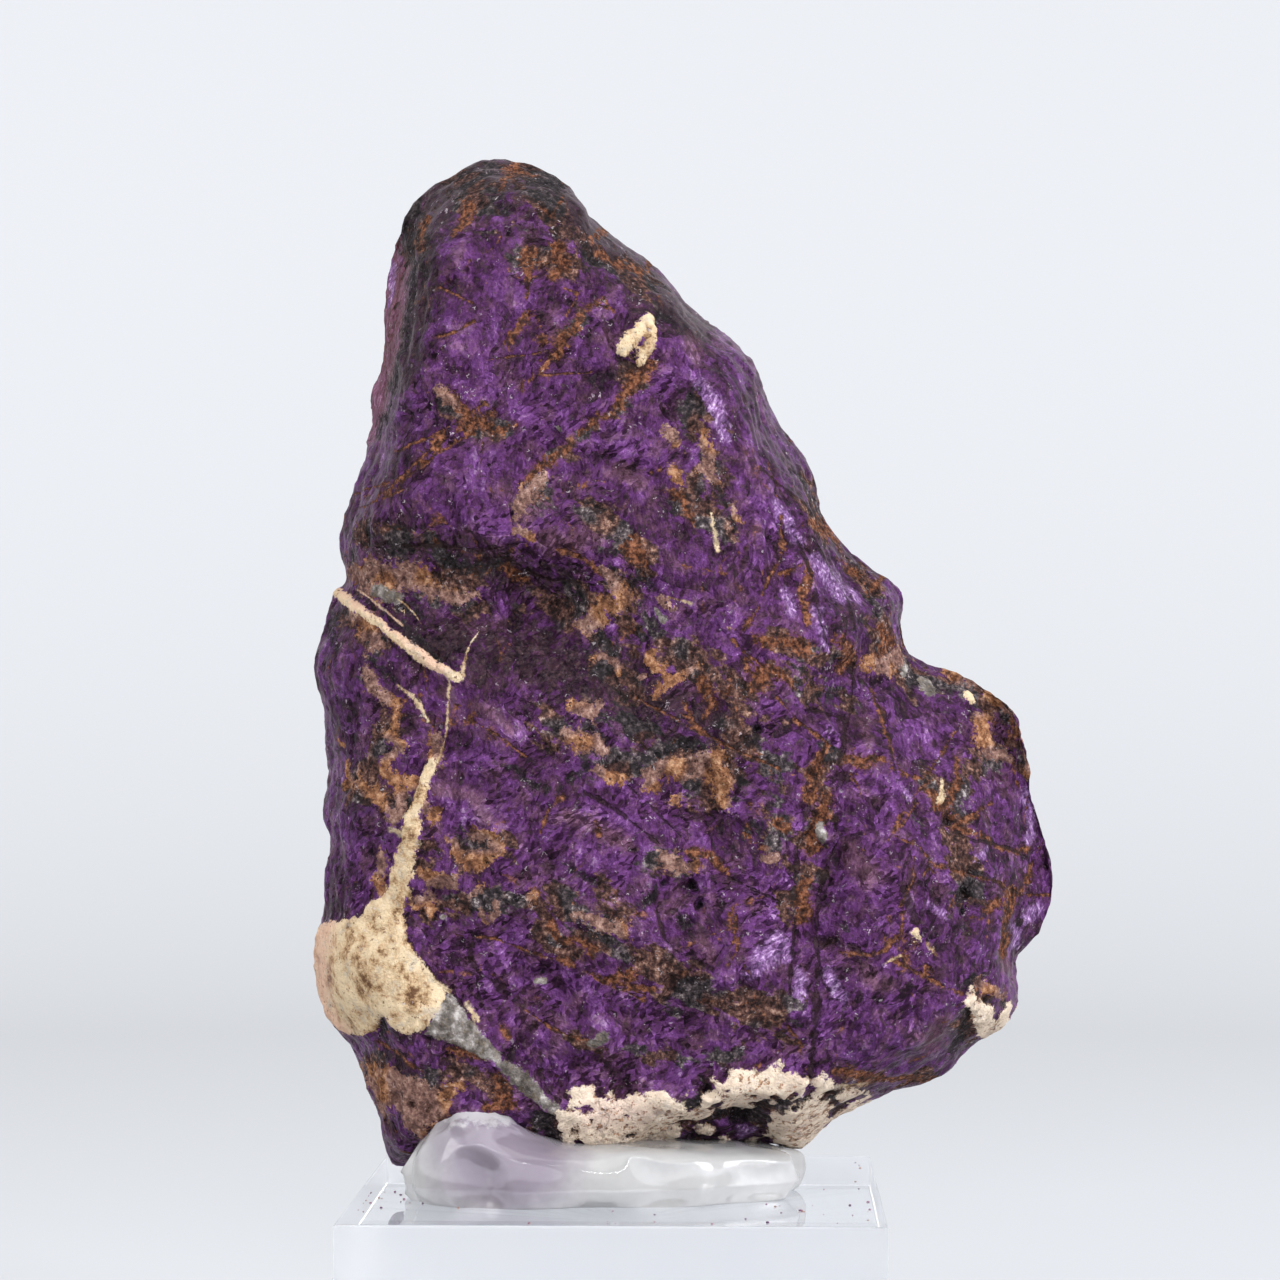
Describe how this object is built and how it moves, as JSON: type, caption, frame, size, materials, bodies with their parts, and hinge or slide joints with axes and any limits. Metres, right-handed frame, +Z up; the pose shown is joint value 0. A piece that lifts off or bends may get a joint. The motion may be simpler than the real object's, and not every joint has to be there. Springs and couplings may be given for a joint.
{
  "type": "purpurite specimen on an acrylic block",
  "caption": "Rough upright slab of purple purpurite fixed by a bead of clear adhesive to a square clear acrylic block, which stands on its flat underside.",
  "frame": {"origin": "centre of the acrylic block's underside", "axes": "+Z up; -Y is the side that the specimen's show face looks towards; +X to the right as seen from there"},
  "size_m": [0.0428, 0.03, 0.0747],
  "materials": {
    "purpurite": "silky purple broken surface with charcoal, rust-brown and cream patches",
    "adhesive": "glossy, slightly milky clear gel",
    "acrylic": "polished clear acrylic"
  },
  "bodies": {
    "root": {"purpurite_stone": "purpurite", "clear_adhesive": "adhesive", "acrylic_block": "acrylic"}
  },
  "joints": []
}
